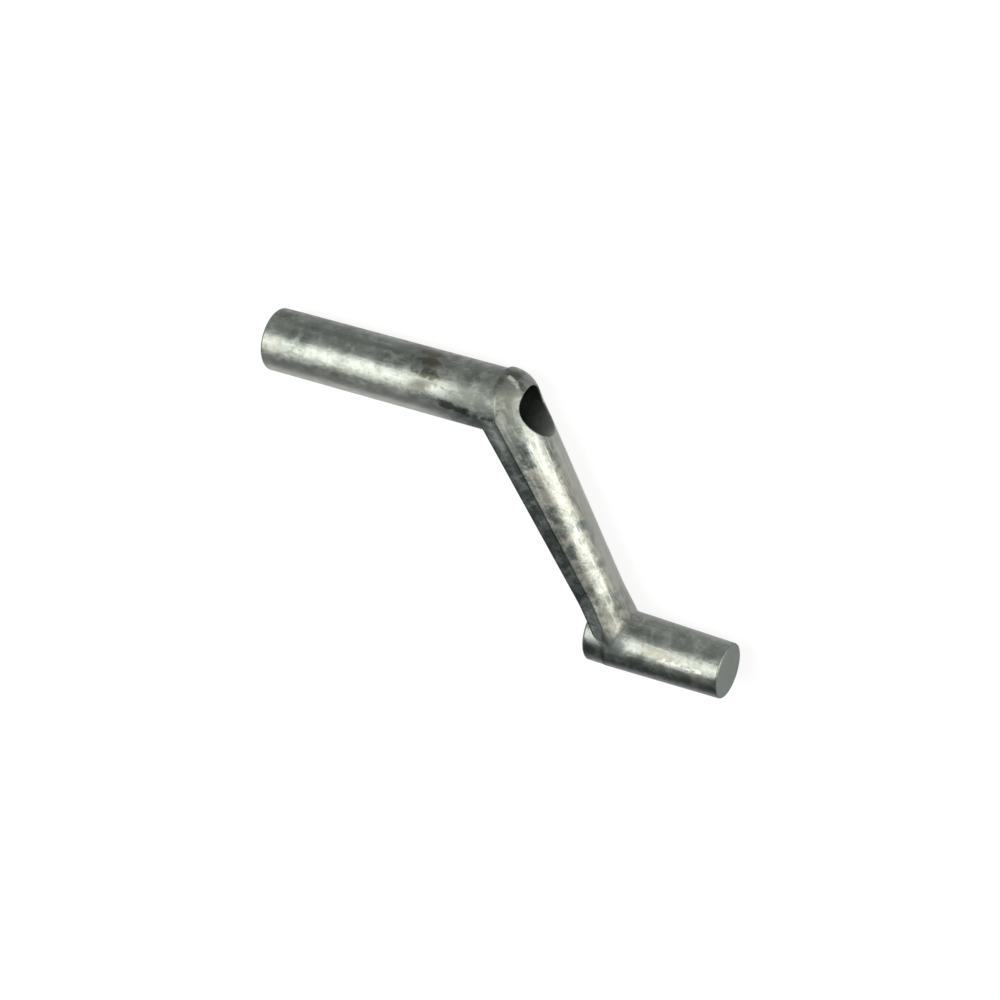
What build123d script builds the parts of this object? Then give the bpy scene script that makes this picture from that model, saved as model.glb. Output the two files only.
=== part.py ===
"""Crank handle: a zinc die casting with a tubular barrel, a slanted arm and a parallel grip.

Frame, in millimetres: the origin is the centre of the barrel's open end, +X runs
along the barrel towards the elbow, the grip's axis lies at Y = -crank_offset and
+Z is square to the plane that holds both axes.

The mould parts along a line that crosses the barrel at the elbow, follows the
arm's sides and turns down beside the grip. The outer half of the casting stands
a little proud of the inner half all along it.
"""
from math import cos, radians, sin, tan
import os

from build123d import *

# ---- barrel: the tube that slides over the spindle it turns
barrel_diameter = 12.7
barrel_to_elbow = 51.8
barrel_rim_round = 0.45

# ---- bores, all on the barrel's axis
socket_diameter = 8.0
socket_depth = 13.0
screw_hole_diameter = 4.8
screw_seat_thickness = 3.0
access_diameter = 8.7
access_rim_round = 0.25

# ---- arm, outer half: an oval rib that grows out of a ball on the barrel's axis
arm_slope = 57.0
head_radius = 6.85
foot_half_width = 4.95
foot_seat = 0.75
foot_rise = 3.5

# ---- arm, inner half: a flat-sided keel
keel_head_half_width = 6.2
keel_head_depth = 3.75
keel_foot_half_width = 4.75
keel_foot_depth = 1.85
keel_edge_round = 0.6

# ---- flare: near its foot the arm widens until it lies a little inside the grip's sides
flare_inset = 0.15
flare_run = 9.2
flare_to_foot = 2.05

# ---- mould parting: its height over the rib's widest line, its place and lean on the barrel
parting_lift = 0.3
cap_setback = 1.1
cap_lean = 11.0
parting_round = 0.15

# ---- grip: a tapered peg with a short stub behind the arm
crank_offset = 43.0
grip_root_diameter = 12.0
grip_end_diameter = 11.0
grip_setback = 1.52
grip_length = 24.2
stub_diameter = 11.8
stub_length = 4.2
stub_edge_chamfer = 0.4
grip_edge_round = 0.4
grip_blend = 1.0

# ---- directions and places that follow from the sizes above
slope = radians(arm_slope)
along_arm = Vector(cos(slope), -sin(slope), 0)
out_of_arm = Vector(sin(slope), cos(slope), 0)
arm_head = Vector(barrel_to_elbow, 0, 0)
arm_length = crank_offset / sin(slope)
arm_foot = arm_head + along_arm * arm_length
grip_start = arm_foot.X - grip_setback
grip_end = grip_start + grip_length
grip_plane = Plane(origin=(grip_start, -crank_offset, 0), x_dir=(0, 1, 0), z_dir=(1, 0, 0))
flare_width = grip_root_diameter / 2 - flare_inset - foot_half_width
flare_begin = 1 - (flare_run + flare_to_foot) / arm_length
mould_reach = barrel_diameter


def between(start, end, share):
    """The value a share of the way from start to end."""
    return start + (end - start) * share


flare_stations = [between(flare_begin, 1, share) for share in (0, 0.25, 0.5, 0.75, 1)]


def flare(share):
    """How far each side stands out from the straight taper at a share of the arm's length."""
    step = min(max((share - flare_begin) * arm_length / flare_run, 0), 1)
    return flare_width * step * step * (3 - 2 * step)


def arm_plane(share):
    """The plane square to the arm at a share of its length; its Y axis points out of the arm."""
    return Plane(origin=arm_head + along_arm * (arm_length * share), x_dir=(0, 0, -1), z_dir=along_arm)


def rib_section(share):
    """The arm's outer half: an oval, of which the part beyond the parting line stays."""
    half_width = between(head_radius, foot_half_width, share) + flare(share)
    with BuildSketch(arm_plane(share)) as section:
        with Locations((0, between(0, foot_seat, share))):
            Ellipse(half_width, between(head_radius, foot_rise, share))
    return section.sketch


def keel_section(share):
    """The arm's inner half: flat sides and a flat underside with rounded edges."""
    half_width = between(keel_head_half_width, keel_foot_half_width, share) + flare(share)
    depth = between(keel_head_depth, keel_foot_depth, share)
    with BuildSketch(arm_plane(share)) as section:
        with Locations((0, -depth)):
            Rectangle(2 * half_width, 2 * depth + foot_seat, align=(Align.CENTER, Align.MIN))
        fillet(section.vertices().group_by(Axis.Y)[0], keel_edge_round)
    return section.sketch


# ---- the mould's outer side: all that lies beyond the parting line
with BuildPart() as outer_mould:
    with BuildSketch():
        with BuildLine():
            arm_parting = Line(
                arm_head + out_of_arm * parting_lift,
                arm_foot + out_of_arm * (foot_seat + parting_lift),
                mode=Mode.PRIVATE,
            )
            cap_top = (barrel_to_elbow + cap_setback - mould_reach * tan(radians(cap_lean)), mould_reach)
            grip_bottom = (grip_start, -crank_offset - mould_reach)
            cap_down = Vector(sin(radians(cap_lean)), -cos(radians(cap_lean)))
            cap_edge = IntersectingLine(cap_top, cap_down, arm_parting)
            grip_edge = IntersectingLine(grip_bottom, Vector(0, 1), arm_parting)
            Line(cap_edge @ 1, grip_edge @ 1)
            Polyline(
                cap_top,
                (grip_end + mould_reach, mould_reach),
                (grip_end + mould_reach, -crank_offset - mould_reach),
                grip_bottom,
            )
        make_face()
    extrude(amount=mould_reach, both=True)

# ---- ball at the elbow: the half that closes the arm's upper end
with BuildPart() as head:
    with Locations(arm_head):
        Sphere(head_radius)
    split(bisect_by=arm_plane(0), keep=Keep.BOTTOM)

# ---- outer half of the casting: the rib, the ball and the grip, cut off at the parting line
with BuildPart() as outer:
    loft([rib_section(0), rib_section(flare_begin)])
    loft([rib_section(share) for share in flare_stations])
    add(head.part)
    with BuildSketch() as grip_profile:
        with BuildLine():
            Polyline(
                (grip_start - stub_length, -crank_offset),
                (grip_start - stub_length, -crank_offset + grip_root_diameter / 2),
                (grip_start, -crank_offset + grip_root_diameter / 2),
                (grip_end, -crank_offset + grip_end_diameter / 2),
                (grip_end, -crank_offset),
                close=True,
            )
        make_face()
        fillet(grip_profile.vertices().group_by(Axis.X)[-1].sort_by(Axis.Y)[-1], grip_edge_round)
    revolve(axis=Axis((0, -crank_offset, 0), (1, 0, 0)))
    seams = outer.edges(Select.NEW).filter_by(lambda edge: edge.center().X > grip_start)
    fillet(seams.sort_by(SortBy.LENGTH)[-1], grip_blend)
    add(outer_mould.part, mode=Mode.INTERSECT)
    fillet(outer.edges(Select.NEW).sort_by(SortBy.LENGTH)[-2:], parting_round)

# ---- keel, up to the barrel's axis
with BuildPart() as keel:
    loft([keel_section(0), keel_section(flare_begin)])
    loft([keel_section(share) for share in flare_stations])
    split(bisect_by=Plane.XZ, keep=Keep.TOP)

# ---- inner half of the casting, then both halves as one piece, then the bores
with BuildPart() as crank:
    with BuildSketch(grip_plane):
        Circle(stub_diameter / 2)
    extrude(amount=-stub_length)
    chamfer(crank.edges().group_by(Axis.X)[0], stub_edge_chamfer)
    with BuildSketch(Plane.YZ):
        Circle(barrel_diameter / 2)
    extrude(amount=barrel_to_elbow + cap_setback)
    fillet(crank.edges().group_by(Axis.X)[0], barrel_rim_round)
    add(keel.part)
    add(outer_mould.part, mode=Mode.SUBTRACT)
    add(outer.part)
    # socket for the spindle, then the web the screw seats on, then the screwdriver's way in
    with BuildSketch(Plane.YZ):
        Circle(socket_diameter / 2)
    extrude(amount=socket_depth, mode=Mode.SUBTRACT)
    with BuildSketch(Plane.YZ.offset(socket_depth)):
        Circle(screw_hole_diameter / 2)
    extrude(amount=screw_seat_thickness, mode=Mode.SUBTRACT)
    with BuildSketch(Plane.YZ.offset(socket_depth + screw_seat_thickness)):
        Circle(access_diameter / 2)
    extrude(amount=grip_end, mode=Mode.SUBTRACT)
    access_rim = crank.edges(Select.NEW).filter_by(lambda edge: edge.center().X > barrel_to_elbow)
    fillet(access_rim, access_rim_round)

crank.part.label = "crank_handle"
os.makedirs("parts", exist_ok=True)
export_step(crank.part, "parts/crank_handle.step")
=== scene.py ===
"""Looks of the crank handle: a raw zinc die casting, dull grey with a burnished lustre and stains, and
with painted light and shade.
"""

import math

import bpy
from mathutils import Matrix, Vector

MM = 0.001

# ---- camera: where the photograph was taken from, in millimetres, and its lens
CAMERA_TARGET = Vector((45.0, -15.0, 0.0))
CAMERA_RIGHT = Vector((0.8715, 0.0443, -0.4883))
CAMERA_UP = Vector((-0.2510, 0.8959, -0.3666))
CAMERA_BACK = Vector((0.4213, 0.4422, 0.7919))
CAMERA_DISTANCE = 518.0
CAMERA_NEAR_CLIP = 0.01
LENS = 96.05
SENSOR = 36.0
SHIFT = (0.0285, -0.0371)

# ---- stage
FLOOR_SIZE = 12.0
FLOOR_CENTRE = (50.0, -20.0)
FLOOR_LEVEL = -6.9
FLOOR_COLOUR = 0.42
FLOOR_SEEN_COLOUR = 0.13
FLOOR_SEEN_GLOW = 0.83
LIGHT_CENTRE = Vector((55.0, -20.0, 0.0))
LIGHT_DISTANCE = 0.7
SIDE_LIGHT = (-0.418, 0.168, 0.887)
SIDE_LIGHT_SIZE = (0.55, 0.56)
SIDE_LIGHT_POWER = 6.6
FRONT_LIGHT = (0.838, 0.376, 0.396)
FRONT_LIGHT_SIZE = (0.85, 0.45)
FRONT_LIGHT_POWER = 7.6
LIGHT_COLOUR = (1.0, 0.985, 0.955)
WORLD_BRIGHT = (0.77, 0.805, 0.78)
WORLD_DIM = (0.26, 0.275, 0.27)
WORLD_BLEND = (-0.45, 0.25)

# ---- zinc, what lies on it, and painted light and shade on it
ZINC = (0.150, 0.162, 0.147)
ZINC_DARK = (0.085, 0.097, 0.088)
ZINC_PALE = (0.240, 0.248, 0.228)
ZINC_WARM = (0.300, 0.285, 0.240)
BLUE_BLACK = (0.050, 0.060, 0.060)
# very dark: streak and spots under the barrel's gloss, and painted shade and shadow at the step, crease,
# bore and keel's joint
SOOT_AND_SHADE = (0.022, 0.026, 0.024)
BROWN = (0.052, 0.050, 0.033)
TAN = (0.125, 0.120, 0.098)
DULL = (0.088, 0.094, 0.084)
# burnished patches and streaks, and also painted reflection, sheen, highlight and light
BURNISH_AND_SHEEN = (0.420, 0.430, 0.400)
PALE_GREEN = (0.175, 0.200, 0.172)
CUT_FACE = (0.158, 0.176, 0.163)

# ---- places on the part, in millimetres
ARM_HEAD = Vector((51.8, 0.0, 0.0))
ARM_SLOPE = 57.0
ARM_LENGTH = 51.3
PARTING_LIFT = 0.3
PARTING_RISE = 0.75
GRIP_START = 78.2
GRIP_END = 102.4
BARREL_RADIUS = 6.35
BORE_RADIUS = 4.35
EDGE_SOFTNESS = 0.3
EDGE_SAMPLES = 6

# ---- noise in the skin: scale per metre, detail, roughness, distortion
CLOUD = (150.0, 3.0, 0.55, 0.3)
BLOTCH = (430.0, 6.0, 0.62, 0.25)
SPECK = (1150.0, 4.0, 0.62, 0.2)
GRAIN = (3600.0, 3.0, 0.6, 0.0)
# ---- streaks: turn in degrees, length and width in millimetres, detail, roughness
BARREL_STREAKS = (-3.0, 5.0, 0.55, 5.0, 0.6)
ARM_STREAKS = (-ARM_SLOPE, 5.5, 0.6, 4.0, 0.55)
STREAK_DISTORTION = 0.6

# ---- tones over the whole skin: layer, where its noise starts and ends, depth, colour
CLOUD_TONE = (0.30, 0.62)
SKIN_TONES = (
    ("blotch", 0.44, 0.70, 0.75, ZINC_PALE),
    ("streak", 0.54, 0.70, 0.50, ZINC_PALE),
    ("speck", 0.54, 0.74, 0.60, ZINC_DARK),
)
# ---- gloss and relief of the skin
BLOTCH_ROUGHNESS = (0.35, 0.65, 0.28, 0.40)
SPECK_ROUGHNESS = (0.4, 0.7, 0.0, 0.08)
DULL_ROUGHNESS = 0.26
RELIEF = (("cloud", 0.45), ("blotch", 0.45), ("speck", 0.30), ("streak", 0.15), ("grain", 0.03))
RELIEF_DEPTH = 0.14

# ---- painted light and shade, and darker patches, on barrel and grip. A line is centre, half width and softness in millimetres.
# ---- A fade is the two places it runs between, and the shares there if not 0 and 1.
# painted reflection: a paler band below the barrel's gloss, fading out towards the elbow
BARREL_UNDER_LINE = (-2.8, 1.9, 1.7)
BARREL_UNDER_FADE = (46.0, 34.0)
BARREL_UNDER_DEPTH = 0.85
BARREL_TOP_FADE = (4.8, 6.2)
BARREL_TOP_PATCHES = (0.44, 0.58)
BARREL_TOP_DEPTH = 0.6
# painted shade: darker patches on the underside of the grip
GRIP_UNDER_FADE = (-43.0, -45.5)
GRIP_UNDER_PATCHES = (0.40, 0.62, 0.9, 0.45)
# painted shadow along the step beside the grip
STEP_LINE = (GRIP_START + 0.3, 0.5, 0.5)
STEP_FADE = (-39.5, -41.0)
STEP_DEPTH = 0.8
END_FACE_FADE = (GRIP_END - 0.3, GRIP_END - 0.05)
END_FACE_DEPTH = 0.9
# painted shade inside the bore: its wall darker and rougher, and darker still further in
BORE_WALL = (BORE_RADIUS + 0.12, BORE_RADIUS + 0.03)
BORE_FADE = (64.0, 60.0)
BORE_DEPTH = 0.9
DEEP_BORE_FADE = (61.5, 54.0)
DEEP_BORE_DEPTH = 0.85

# ---- painted shade and light, and other tones, on the arm: along it from its head, out from its axis, or above the parting
ARM_START_FADE = (-4.5, -2.5)
ARM_END_FADE = (ARM_LENGTH + 1.0, ARM_LENGTH - 2.0)
OFF_BARREL = (BARREL_RADIUS + 0.03, BARREL_RADIUS + 0.15)
PAST_BARREL = (52.5, 54.0)
BELOW_AXIS = (-1.3, -1.8)
# painted shade: darker patches on the keel
KEEL_SIDE = (0.1, -0.1)
KEEL_PATCHES = (0.38, 0.60, 0.95, 0.70)
# painted sheen along the keel's upper end
SHEEN_LINE = (-1.75, 0.6, 0.5)
SHEEN_FADE = (19.0, 3.0, 0.0, 0.30)
# painted shade in the crease between keel and rib
CREASE_LINE = (-0.28, 0.24, 0.2)
CREASE_FADE = (18.0, 40.0, 0.9, 0.2)
RIB_SIDE = (0.1, 0.8)
RIB_END_FADE = (ARM_LENGTH - 1.0, ARM_LENGTH - 4.0)
# painted light on the rib's far side
FAR_SIDE = (2.5, 0.0)
FAR_SIDE_FADE = (47.0, 38.0)
FAR_SIDE_DEPTH = 0.50
DRAWN_PATCHES = (0.50, 0.68, 0.0, 0.45)
# painted shade on the rib's near side beside the crease
NEAR_SIDE = (4.2, 5.6)
NEAR_SIDE_FADE = (14.0, 24.0, 0.0, 0.5)
WARM_FADE = (6.0, 20.0, 0.1, 0.5)
WARM_PATCHES = (0.38, 0.6)

# ---- marks, one a painted shadow and one a painted highlight: centre, radii, turn about Z in degrees, depth, colour
MARK_RIM = 3.75
MARK_RAGGEDNESS = 5.5
MARK_SOFTNESS = 0.45
DULL_SOFTNESS = 1.0
MARKS = (
    ((17.0, 5.7, 2.7), (13.0, 0.5, 0.8), 0.0, 0.40, BLUE_BLACK),
    ((1.8, 1.8, 6.0), (2.6, 1.4, 1.6), 0.0, 0.35, TAN),
    ((2.6, 6.2, 1.2), (1.6, 0.8, 1.3), 0.0, 0.60, BROWN),
    ((36.4, 5.0, 3.6), (2.5, 2.2, 2.8), -2.0, 0.35, BROWN),
    ((35.3, 6.3, 0.7), (2.6, 0.9, 1.2), 0.0, 0.80, BROWN),
    ((36.2, 5.5, 3.1), (2.6, 0.6, 0.8), -1.0, 0.85, BROWN),
    ((37.6, 3.8, 5.1), (2.4, 0.7, 0.75), -2.0, 0.80, BROWN),
    ((39.3, -0.2, 6.3), (3.0, 0.40, 0.9), -6.0, 0.60, BLUE_BLACK),
    ((43.6, -1.0, 6.2), (3.2, 0.75, 1.0), -7.0, 0.85, SOOT_AND_SHADE),
    ((40.3, 1.4, 6.2), (2.0, 0.8, 1.1), -6.0, 0.25, BURNISH_AND_SHEEN),
    ((42.3, 3.0, 5.6), (2.2, 0.8, 1.0), -3.0, 0.60, ZINC_PALE),
    ((46.6, -1.0, 6.2), (0.9, 0.5, 1.0), 0.0, 0.80, SOOT_AND_SHADE),
    # painted shadow where the keel meets the barrel
    ((50.8, -1.6, 6.2), (2.1, 0.4, 1.0), -4.0, 0.75, SOOT_AND_SHADE),
    ((46.9, 5.1, 3.6), (1.6, 1.3, 1.5), 0.0, 0.45, BLUE_BLACK),
    ((48.3, 5.7, 2.8), (0.8, 0.8, 0.9), 0.0, 0.75, PALE_GREEN),
    ((52.1, 5.8, 3.4), (0.8, 0.8, 0.9), 0.0, 0.60, BROWN),
    ((51.7, 3.8, 5.1), (0.9, 1.0, 1.0), 0.0, 0.50, BLUE_BLACK),
    ((53.7, 6.5, 0.9), (2.1, 1.0, 1.2), 0.0, 0.90, BROWN),
    ((56.2, 5.4, 2.0), (0.9, 1.0, 0.9), 0.0, 0.80, BROWN),
    ((54.0, 6.1, 2.2), (1.1, 0.4, 0.45), -30.0, 0.80, BURNISH_AND_SHEEN),
    ((55.2, 5.3, 2.8), (0.8, 0.35, 0.45), -30.0, 0.55, BURNISH_AND_SHEEN),
    ((52.8, 1.4, 6.4), (0.2, 1.9, 1.2), 8.0, 0.22, BURNISH_AND_SHEEN),
    ((54.4, -0.7, 6.5), (0.7, 1.8, 1.2), 25.0, 0.28, BURNISH_AND_SHEEN),
    ((59.8, -7.6, 5.8), (0.9, 2.7, 1.2), 30.0, 0.55, BLUE_BLACK),
    # painted highlight on the stub beyond the arm
    ((75.7, -41.3, 5.6), (2.2, 1.3, 1.3), -20.0, 0.16, BURNISH_AND_SHEEN),
    ((91.0, -40.8, 5.4), (4.8, 0.8, 1.2), -2.0, 0.70, TAN),
    ((94.4, -42.1, 5.5), (3.6, 0.7, 1.0), -2.0, 0.50, BURNISH_AND_SHEEN),
)
# ---- where the skin is dull, two patches also painted shade: centre, radii, depth of the change of colour, colour
DULL_SKIN_AND_SHADE = (
    ((36.1, 1.7, 6.1), (2.0, 0.9, 1.2), 0.75, TAN),
    ((47.4, 1.6, 5.6), (5.8, 4.2, 3.0), 0.40, DULL),
    ((54.6, 3.2, 5.0), (2.6, 3.6, 2.8), 0.50, TAN),
    ((55.6, -2.6, 5.9), (2.4, 2.6, 1.8), 0.30, DULL),
    # painted shade low on the barrel where it meets the arm
    ((48.2, -4.3, 4.6), (4.6, 2.6, 2.8), 0.85, BLUE_BLACK),
    # painted shade where the rib's foot meets the grip
    ((80.3, -41.8, 5.7), (2.2, 2.6, 1.8), 0.70, BLUE_BLACK),
    ((79.7, -36.2, 5.8), (2.6, 3.0, 2.6), 0.35, TAN),
)


def node(tree, kind, **settings):
    made = tree.nodes.new(kind)
    for name, value in settings.items():
        setattr(made, name, value)
    return made


def link(tree, start, end):
    tree.links.new(start, end)


def noise(tree, place, scale, detail, roughness, distortion):
    made = node(tree, "ShaderNodeTexNoise")
    made.inputs["Scale"].default_value = scale
    made.inputs["Detail"].default_value = detail
    made.inputs["Roughness"].default_value = roughness
    made.inputs["Distortion"].default_value = distortion
    link(tree, place, made.inputs["Vector"])
    return made.outputs["Fac"]


def ranged(tree, value, low, high, to_low=0.0, to_high=1.0):
    """A soft step from to_low, where value is low, to to_high, where it is high."""
    made = node(tree, "ShaderNodeMapRange", interpolation_type="SMOOTHSTEP")
    made.inputs["From Min"].default_value = low
    made.inputs["From Max"].default_value = high
    made.inputs["To Min"].default_value = to_low
    made.inputs["To Max"].default_value = to_high
    link(tree, value, made.inputs["Value"])
    return made.outputs["Result"]


def maths(tree, operation, first, second=0.0):
    made = node(tree, "ShaderNodeMath", operation=operation)
    for socket, value in zip(made.inputs, (first, second)):
        if isinstance(value, (int, float)):
            socket.default_value = value
        else:
            link(tree, value, socket)
    return made.outputs[0]


def product(tree, *values):
    total = values[0]
    for value in values[1:]:
        total = maths(tree, "MULTIPLY", total, value)
    return total


def band(tree, value, centre, half_width, soft):
    """1 where value lies within half_width of centre, 0 beyond it."""
    offset = maths(tree, "ABSOLUTE", maths(tree, "SUBTRACT", value, centre))
    return ranged(tree, offset, half_width + soft, half_width - soft)


def mixed(tree, share, first, second):
    """Colour mix: first where share is 0, second where it is 1."""
    made = node(tree, "ShaderNodeMix", data_type="RGBA")
    link(tree, share, made.inputs[0])
    for socket, value in ((made.inputs[6], first), (made.inputs[7], second)):
        if isinstance(value, tuple):
            socket.default_value = (*value, 1.0)
        else:
            link(tree, value, socket)
    return made.outputs[2]


def local(tree, place, centre=(0.0, 0.0, 0.0), radii=(1.0, 1.0, 1.0), turn=0.0):
    """Coordinates that are 0 at centre and 1 long at the radii (mm), turned about Z by turn degrees."""
    made = node(tree, "ShaderNodeMapping", vector_type="TEXTURE")
    made.inputs["Location"].default_value = Vector(centre) * MM
    made.inputs["Rotation"].default_value = (0.0, 0.0, math.radians(turn))
    made.inputs["Scale"].default_value = Vector(radii) * MM
    link(tree, place, made.inputs["Vector"])
    return made.outputs["Vector"]


def split_axes(tree, vector):
    made = node(tree, "ShaderNodeSeparateXYZ")
    link(tree, vector, made.inputs[0])
    return made.outputs["X"], made.outputs["Y"], made.outputs["Z"]


def streaks(tree, place, turn, length, width, detail, roughness):
    """Noise drawn out along a member that lies turned by turn degrees about Z."""
    drawn = local(tree, place, radii=(length, width, width), turn=turn)
    return noise(tree, drawn, 1.0, detail, roughness, STREAK_DISTORTION)


def blot(tree, place, centre, radii, turn, ragged, softness):
    """A mark: 1 inside an ellipsoid about centre, 0 outside, with a ragged rim."""
    length = node(tree, "ShaderNodeVectorMath", operation="LENGTH")
    link(tree, local(tree, place, centre, radii, turn), length.inputs[0])
    raggedness = maths(tree, "MULTIPLY", ragged, MARK_RAGGEDNESS)
    reach = maths(tree, "ADD", length.outputs["Value"], raggedness)
    return ranged(tree, reach, MARK_RIM + softness, MARK_RIM - softness)


def skin_layers(tree, place):
    return {
        "cloud": noise(tree, place, *CLOUD),
        "blotch": noise(tree, place, *BLOTCH),
        "speck": noise(tree, place, *SPECK),
        "grain": noise(tree, place, *GRAIN),
        "streak": streaks(tree, place, *BARREL_STREAKS),
    }


def skin_colour(tree, layers):
    colour = mixed(tree, ranged(tree, layers["cloud"], *CLOUD_TONE), ZINC_DARK, ZINC)
    for layer, low, high, depth, tint in SKIN_TONES:
        colour = mixed(tree, ranged(tree, layers[layer], low, high, 0.0, depth), colour, tint)
    return colour


def barrel_and_grip_shades(tree, x, y, colour, blotch):
    """Painted reflection below the barrel's gloss, darker patches along its top, painted shade under the
    grip and painted shadow along the step beside it.
    """
    # painted reflection below the barrel's gloss
    under_line = band(tree, y, *BARREL_UNDER_LINE)
    under = product(tree, under_line, ranged(tree, x, *BARREL_UNDER_FADE), BARREL_UNDER_DEPTH)
    colour = mixed(tree, under, colour, BURNISH_AND_SHEEN)
    top_patches = ranged(tree, blotch, *BARREL_TOP_PATCHES)
    top = product(tree, ranged(tree, y, *BARREL_TOP_FADE), top_patches, BARREL_TOP_DEPTH)
    colour = mixed(tree, top, colour, BLUE_BLACK)
    # painted shade under the grip
    grip_patches = ranged(tree, blotch, *GRIP_UNDER_PATCHES)
    painted_grip_shade = product(tree, ranged(tree, y, *GRIP_UNDER_FADE), grip_patches)
    colour = mixed(tree, painted_grip_shade, colour, BLUE_BLACK)
    # painted shadow along the step
    step = product(tree, band(tree, x, *STEP_LINE), ranged(tree, y, *STEP_FADE), STEP_DEPTH)
    return mixed(tree, step, colour, SOOT_AND_SHADE)


def arm_mask(tree, x, y, radius, along):
    """1 on the arm, 0 on the barrel and on the grip."""
    start = ranged(tree, along, *ARM_START_FADE)
    end = ranged(tree, along, *ARM_END_FADE)
    off_barrel = ranged(tree, radius, *OFF_BARREL)
    off_barrel = maths(tree, "MAXIMUM", off_barrel, ranged(tree, x, *PAST_BARREL))
    return product(tree, start, end, off_barrel, ranged(tree, y, *BELOW_AXIS))


def keel_shades(tree, on_arm, along, height, colour, ragged):
    """Painted shade on the keel, a painted sheen along its upper end and painted shade in the crease
    beside the rib.
    """
    keel = product(tree, on_arm, ranged(tree, height, *KEEL_SIDE))
    # painted shade on the keel
    painted_keel_shade = product(tree, keel, ranged(tree, ragged, *KEEL_PATCHES))
    colour = mixed(tree, painted_keel_shade, colour, BLUE_BLACK)
    # painted sheen along the keel
    sheen = product(tree, keel, band(tree, height, *SHEEN_LINE), ranged(tree, along, *SHEEN_FADE))
    colour = mixed(tree, sheen, colour, BURNISH_AND_SHEEN)
    # painted shade in the crease
    crease_line = band(tree, height, *CREASE_LINE)
    crease = product(tree, on_arm, crease_line, ranged(tree, along, *CREASE_FADE))
    return mixed(tree, crease, colour, SOOT_AND_SHADE)


def rib_shades(tree, place, on_arm, along, height, across, colour, ragged):
    """The rib: painted light on its far side, streaked along its length, painted shade near the crease,
    warm lower down.
    """
    rib_end = ranged(tree, along, *RIB_END_FADE)
    rib = product(tree, on_arm, ranged(tree, height, *RIB_SIDE), rib_end)
    # painted light on the rib's far side
    painted_far_light = product(tree, rib, ranged(tree, across, *FAR_SIDE), ranged(tree, along, *FAR_SIDE_FADE))
    colour = mixed(tree, product(tree, painted_far_light, FAR_SIDE_DEPTH), colour, BURNISH_AND_SHEEN)
    drawn = streaks(tree, place, *ARM_STREAKS)
    colour = mixed(tree, product(tree, rib, ranged(tree, drawn, *DRAWN_PATCHES)), colour, BURNISH_AND_SHEEN)
    # painted shade beside the crease
    painted_crease_shade = product(tree, rib, ranged(tree, across, *NEAR_SIDE), ranged(tree, along, *NEAR_SIDE_FADE))
    colour = mixed(tree, painted_crease_shade, colour, BLUE_BLACK)
    warm = product(tree, rib, ranged(tree, along, *WARM_FADE), ranged(tree, ragged, *WARM_PATCHES))
    return mixed(tree, warm, colour, ZINC_WARM)


def arm_shades(tree, place, x, y, radius, colour, ragged):
    along, out, across = split_axes(tree, local(tree, place, ARM_HEAD, turn=-ARM_SLOPE))
    parting = maths(tree, "MULTIPLY", along, PARTING_RISE / ARM_LENGTH)
    height = maths(tree, "SUBTRACT", out, maths(tree, "ADD", parting, PARTING_LIFT))
    on_arm = arm_mask(tree, x, y, radius, along)
    colour = keel_shades(tree, on_arm, along, height, colour, ragged)
    return rib_shades(tree, place, on_arm, along, height, across, colour, ragged)


def marked(tree, place, colour, dull, ragged):
    """The marks laid over a colour, some of them painted shadow, shade or highlight, and how dull the skin
    is with them.
    """
    for centre, radii, depth, tint in DULL_SKIN_AND_SHADE:
        share = blot(tree, place, centre, radii, 0.0, ragged, DULL_SOFTNESS)
        dull = maths(tree, "MAXIMUM", dull, share)
        colour = mixed(tree, maths(tree, "MULTIPLY", share, depth), colour, tint)
    for centre, radii, turn, depth, tint in MARKS:
        share = blot(tree, place, centre, radii, turn, ragged, MARK_SOFTNESS)
        colour = mixed(tree, maths(tree, "MULTIPLY", share, depth), colour, tint)
    return colour, dull


def relief_normal(tree, layers):
    """Shallow unevenness of the cast skin, over edges that are a little rounded."""
    first, *others = RELIEF
    height = maths(tree, "MULTIPLY", layers[first[0]], first[1])
    for layer, weight in others:
        height = maths(tree, "ADD", height, maths(tree, "MULTIPLY", layers[layer], weight))
    edges = node(tree, "ShaderNodeBevel", samples=EDGE_SAMPLES)
    edges.inputs["Radius"].default_value = EDGE_SOFTNESS * MM
    bump = node(tree, "ShaderNodeBump")
    bump.inputs["Strength"].default_value = 1.0
    bump.inputs["Distance"].default_value = RELIEF_DEPTH * MM
    link(tree, height, bump.inputs["Height"])
    link(tree, edges.outputs["Normal"], bump.inputs["Normal"])
    return bump.outputs["Normal"]


def empty_material(name):
    material = bpy.data.materials.new(name)
    material.use_nodes = True
    material.node_tree.nodes.clear()
    return material, material.node_tree


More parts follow.
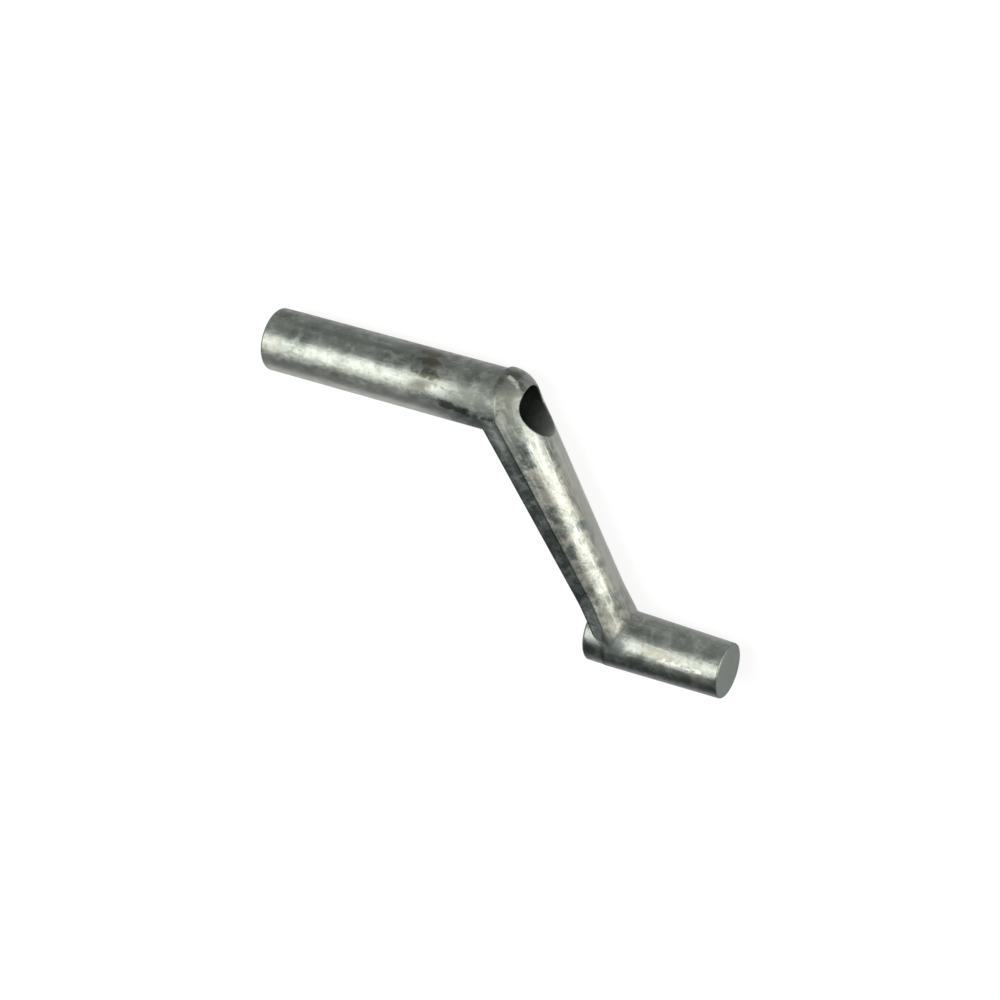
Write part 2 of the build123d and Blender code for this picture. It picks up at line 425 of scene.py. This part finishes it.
def zinc_material():
    material, tree = empty_material("zinc")
    place = node(tree, "ShaderNodeTexCoord").outputs["Object"]
    layers = skin_layers(tree, place)
    x, y, z = split_axes(tree, local(tree, place))
    squares = maths(tree, "ADD", maths(tree, "MULTIPLY", y, y), maths(tree, "MULTIPLY", z, z))
    radius = maths(tree, "SQRT", squares)
    in_bore = product(tree, ranged(tree, radius, *BORE_WALL), ranged(tree, x, *BORE_FADE))
    end_face = ranged(tree, x, *END_FACE_FADE)

    colour = skin_colour(tree, layers)
    colour = barrel_and_grip_shades(tree, x, y, colour, layers["blotch"])
    colour = arm_shades(tree, place, x, y, radius, colour, layers["blotch"])
    ragged = maths(tree, "MULTIPLY", maths(tree, "ADD", layers["blotch"], layers["speck"]), 0.5)
    colour, dull = marked(tree, place, colour, maths(tree, "MAXIMUM", in_bore, end_face), ragged)
    colour = mixed(tree, maths(tree, "MULTIPLY", end_face, END_FACE_DEPTH), colour, CUT_FACE)
    # painted shade inside the bore, darker further in
    colour = mixed(tree, maths(tree, "MULTIPLY", in_bore, BORE_DEPTH), colour, DULL)
    painted_bore_shade = product(tree, in_bore, ranged(tree, x, *DEEP_BORE_FADE), DEEP_BORE_DEPTH)
    colour = mixed(tree, painted_bore_shade, colour, SOOT_AND_SHADE)

    rough = ranged(tree, layers["blotch"], *BLOTCH_ROUGHNESS)
    rough = maths(tree, "ADD", rough, ranged(tree, layers["speck"], *SPECK_ROUGHNESS))
    rough = maths(tree, "ADD", rough, maths(tree, "MULTIPLY", dull, DULL_ROUGHNESS))

    shader = node(tree, "ShaderNodeBsdfPrincipled")
    shader.inputs["Metallic"].default_value = 1.0
    link(tree, colour, shader.inputs["Base Color"])
    link(tree, rough, shader.inputs["Roughness"])
    link(tree, relief_normal(tree, layers), shader.inputs["Normal"])
    output = node(tree, "ShaderNodeOutputMaterial")
    link(tree, shader.outputs["BSDF"], output.inputs["Surface"])
    return material


def floor_material():
    """White where seen straight or in a reflection, with the object's shadow kept."""
    material, tree = empty_material("floor")
    path = node(tree, "ShaderNodeLightPath").outputs
    reflected = maths(tree, "MAXIMUM", path["Is Glossy Ray"], path["Is Transmission Ray"])
    seen = maths(tree, "MAXIMUM", path["Is Camera Ray"], reflected)
    diffuse = node(tree, "ShaderNodeBsdfDiffuse")
    colour = mixed(tree, seen, (FLOOR_COLOUR,) * 3, (FLOOR_SEEN_COLOUR,) * 3)
    link(tree, colour, diffuse.inputs["Color"])
    glow = node(tree, "ShaderNodeEmission")
    link(tree, maths(tree, "MULTIPLY", seen, FLOOR_SEEN_GLOW), glow.inputs["Strength"])
    total = node(tree, "ShaderNodeAddShader")
    link(tree, diffuse.outputs[0], total.inputs[0])
    link(tree, glow.outputs[0], total.inputs[1])
    output = node(tree, "ShaderNodeOutputMaterial")
    link(tree, total.outputs[0], output.inputs["Surface"])
    return material


def build_floor():
    x, y = FLOOR_CENTRE
    bpy.ops.mesh.primitive_plane_add(size=FLOOR_SIZE, location=(x * MM, y * MM, FLOOR_LEVEL * MM))
    floor = bpy.context.object
    floor.name = "floor"
    floor.data.materials.append(floor_material())


def build_world():
    """A soft grey room, dimmer on the side the grip points down to."""
    world = bpy.data.worlds.new("studio")
    world.use_nodes = True
    tree = world.node_tree
    _, y, _ = split_axes(tree, node(tree, "ShaderNodeTexCoord").outputs["Generated"])
    colour = mixed(tree, ranged(tree, y, *WORLD_BLEND), WORLD_DIM, WORLD_BRIGHT)
    link(tree, colour, tree.nodes["Background"].inputs["Color"])
    bpy.context.scene.world = world


def soft_light(name, direction, size, power):
    """A rectangular soft light that faces the object."""
    data = bpy.data.lights.new(name, "AREA")
    data.shape = "RECTANGLE"
    data.size, data.size_y = size
    data.energy = power
    data.color = LIGHT_COLOUR
    light = bpy.data.objects.new(name, data)
    away = Vector(direction).normalized()
    side = CAMERA_UP.cross(away).normalized()
    turn = Matrix((side, away.cross(side), away)).transposed()
    place = LIGHT_CENTRE * MM + away * LIGHT_DISTANCE
    light.matrix_world = Matrix.Translation(place) @ turn.to_4x4()
    bpy.context.collection.objects.link(light)


def build_camera():
    data = bpy.data.cameras.new("camera")
    data.lens = LENS
    data.sensor_width = SENSOR
    data.shift_x, data.shift_y = SHIFT
    data.clip_start = CAMERA_NEAR_CLIP
    camera = bpy.data.objects.new("camera", data)
    turn = Matrix((CAMERA_RIGHT, CAMERA_UP, CAMERA_BACK)).transposed()
    place = (CAMERA_TARGET + CAMERA_BACK * CAMERA_DISTANCE) * MM
    camera.matrix_world = Matrix.Translation(place) @ turn.to_4x4()
    bpy.context.collection.objects.link(camera)
    bpy.context.scene.camera = camera


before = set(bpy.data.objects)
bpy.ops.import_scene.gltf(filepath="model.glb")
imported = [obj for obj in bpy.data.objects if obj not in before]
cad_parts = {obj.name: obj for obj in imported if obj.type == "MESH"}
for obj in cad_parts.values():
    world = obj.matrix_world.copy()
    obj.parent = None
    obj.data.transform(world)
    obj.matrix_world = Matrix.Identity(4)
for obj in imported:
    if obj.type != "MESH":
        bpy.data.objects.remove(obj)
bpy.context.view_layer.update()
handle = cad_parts["crank_handle"]
handle.data.materials.clear()
handle.data.materials.append(zinc_material())
build_floor()
build_world()
soft_light("side_light", SIDE_LIGHT, SIDE_LIGHT_SIZE, SIDE_LIGHT_POWER)
soft_light("front_light", FRONT_LIGHT, FRONT_LIGHT_SIZE, FRONT_LIGHT_POWER)
build_camera()
bpy.context.scene.view_settings.view_transform = "Standard"
